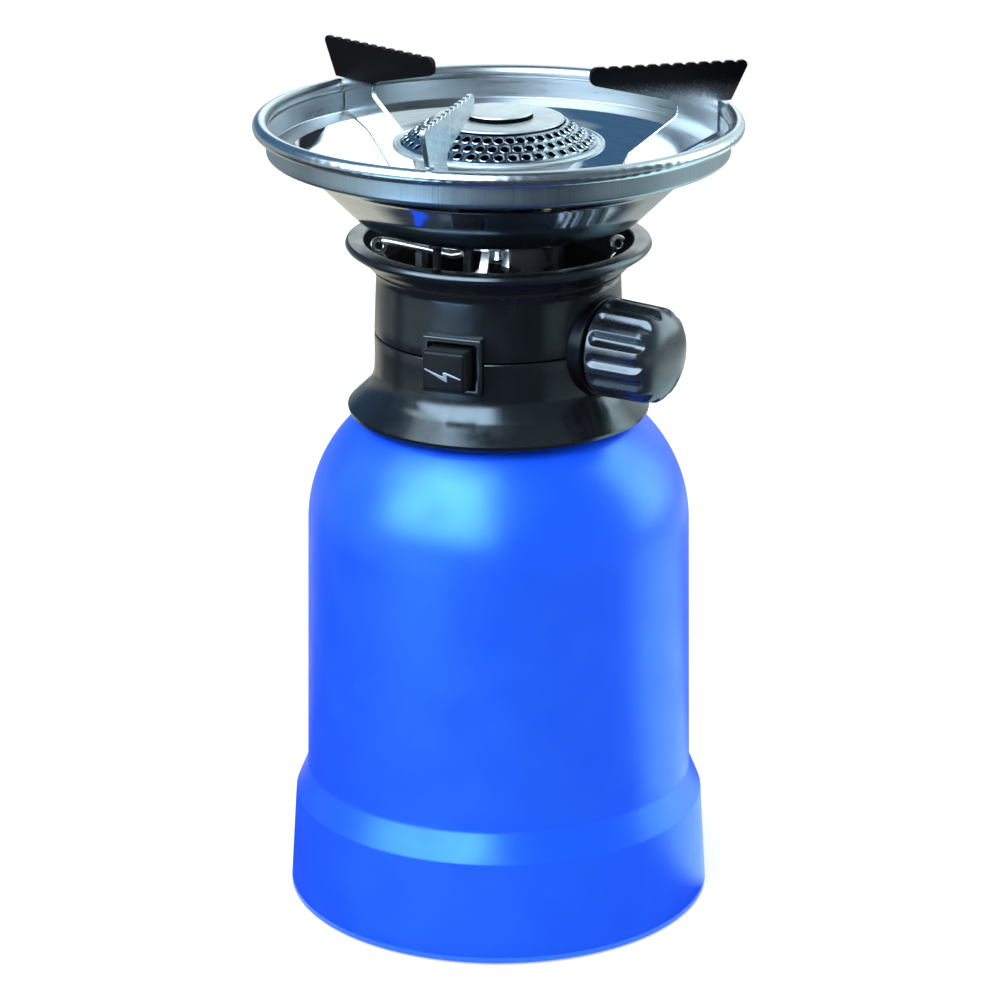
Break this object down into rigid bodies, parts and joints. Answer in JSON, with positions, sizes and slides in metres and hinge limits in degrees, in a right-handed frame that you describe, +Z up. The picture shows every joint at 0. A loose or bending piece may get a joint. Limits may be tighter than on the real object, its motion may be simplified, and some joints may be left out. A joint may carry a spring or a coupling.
{
  "type": "portable gas stove",
  "caption": "Single-burner camping stove on an enclosed pierceable gas cartridge, with a wind-shield bowl, upright pot supports, side control knob and push-button igniter.",
  "frame": {"origin": "centre of the base's underside, on the stove's vertical axis, on the surface it stands on", "axes": "+Z up along the stove axis; -Y faces the viewer, with the igniter button at the front left and the control knob at the front right (+X to the right)"},
  "size_m": [0.1175, 0.117, 0.2066],
  "materials": {
    "blue_shell": "matte",
    "cartridge_paint": "satin",
    "black_gloss": "gloss",
    "soft_black": "satin",
    "plated_steel": "satin",
    "brass": "machined",
    "seal_rubber": "matte",
    "stainless": "polished and brushed",
    "burner_aluminium": "matt",
    "ceramic": "smooth",
    "lead_sleeve": "matte"
  },
  "bodies": {
    "base": {"base_closure": "blue_shell", "gas_cartridge": "cartridge_paint"},
    "housing": {"cartridge_housing": "blue_shell"},
    "head": {"collar_lower": "black_gloss", "collar_upper": "black_gloss", "carrier_plate": "plated_steel", "plate_screw_1": "plated_steel", "plate_screw_2": "plated_steel", "plate_screw_3": "plated_steel", "bowl_carrier": "plated_steel", "valve_body": "brass", "valve_nut": "brass", "cartridge_seal": "seal_rubber", "piercing_needle": "plated_steel", "injector": "brass", "spindle_seal": "seal_rubber", "gland_nut": "brass", "knob_ring": "black_gloss", "igniter_bezel": "black_gloss", "igniter_module": "soft_black", "igniter_spring": "plated_steel", "mixing_tube": "plated_steel", "windshield_bowl": "stainless", "burner_cup": "burner_aluminium", "burner_ring": "burner_aluminium", "burner_cap": "burner_aluminium", "pot_support_1": "stainless", "pot_support_2": "stainless", "pot_support_3": "stainless", "electrode_insulator": "ceramic", "ignition_electrode": "plated_steel", "igniter_lead": "lead_sleeve"},
    "knob": {"control_knob": "soft_black", "valve_spindle": "brass"},
    "button": {"igniter_button": "soft_black"}
  },
  "joints": [
    {"name": "housing_lift", "type": "slide", "parent": "base", "child": "housing", "axis": [0, 0, 1], "range_m": [0, 0.105]},
    {"name": "head_lift", "type": "slide", "parent": "housing", "child": "head", "axis": [0, 0, 1], "range_m": [0, 0.032]},
    {"name": "knob_turn", "type": "hinge", "parent": "head", "child": "knob", "pos_m": [0, 0, 0.1446], "axis": [0.829, -0.5592, 0], "range_deg": [0, 270]},
    {"name": "button_press", "type": "slide", "parent": "head", "child": "button", "axis": [0.3502, 0.9367, 0], "range_m": [0, 0.003], "stiffness_N_per_m": 2500, "springref_m": -0.001, "deforming": ["igniter_spring"]}
  ]
}
